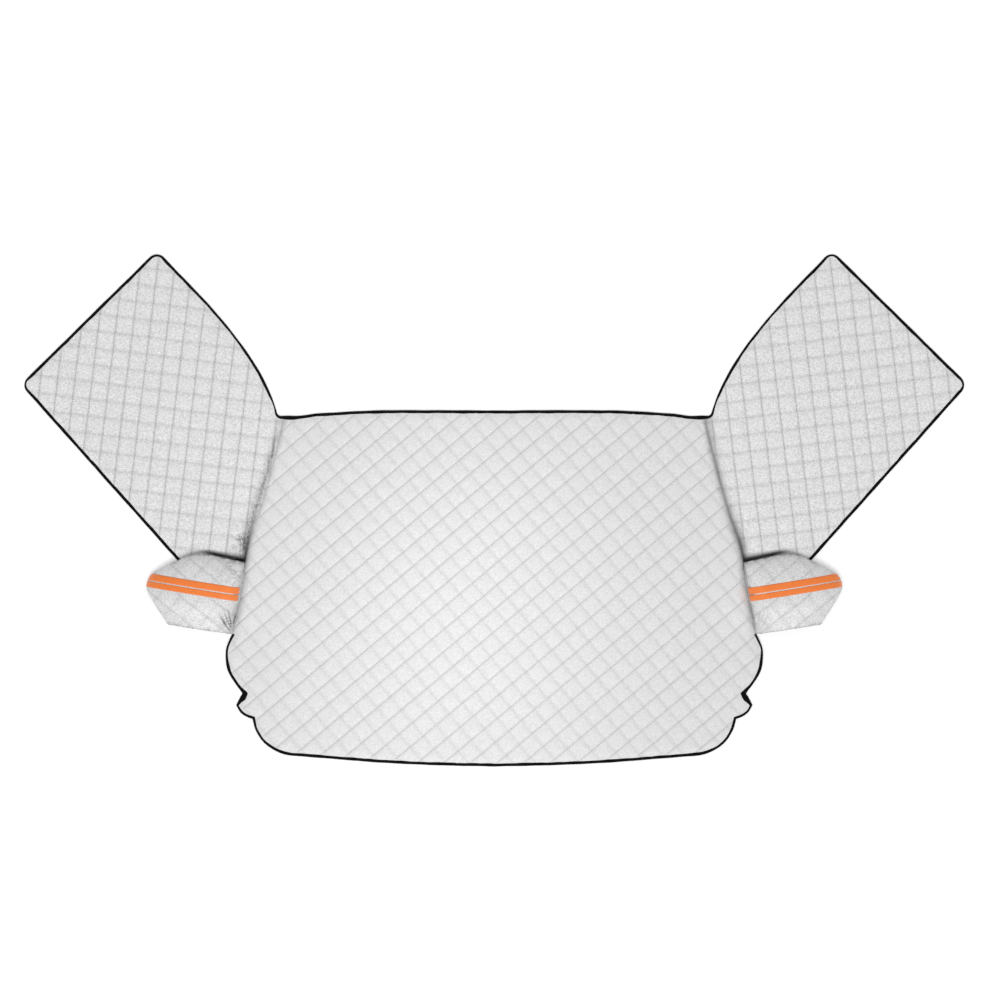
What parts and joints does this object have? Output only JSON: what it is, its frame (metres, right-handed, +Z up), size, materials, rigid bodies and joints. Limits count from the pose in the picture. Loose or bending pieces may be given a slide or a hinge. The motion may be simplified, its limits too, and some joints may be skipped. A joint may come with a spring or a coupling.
{
  "type": "windshield sun shade",
  "caption": "Quilted sun and frost shade for a vehicle windshield, with door wings sewn to its slanted sides, puffed door-mirror covers, taped edges and bright safety tapes.",
  "frame": {"origin": "on the floor, under the middle of the whole shade's bounding box", "axes": "+X from the left wing to the right wing as the bright face is seen, +Y from the lower hem to the wings' top corners, +Z up out of the bright face"},
  "size_m": [2.411, 1.3123, 0.07],
  "materials": {
    "silver_quilt": "aluminised quilted cloth, satin",
    "black_binding": "woven tape, matte",
    "orange_tape": "safety tape, satin"
  },
  "bodies": {
    "root": {"main_panel": "silver_quilt", "left_wing": "silver_quilt", "right_wing": "silver_quilt", "left_cover_front": "silver_quilt", "right_cover_front": "silver_quilt", "left_cover_back": "silver_quilt", "right_cover_back": "silver_quilt", "left_upper_tape": "orange_tape", "left_lower_tape": "orange_tape", "right_upper_tape": "orange_tape", "right_lower_tape": "orange_tape", "upper_binding": "black_binding", "lower_binding": "black_binding"}
  },
  "joints": []
}
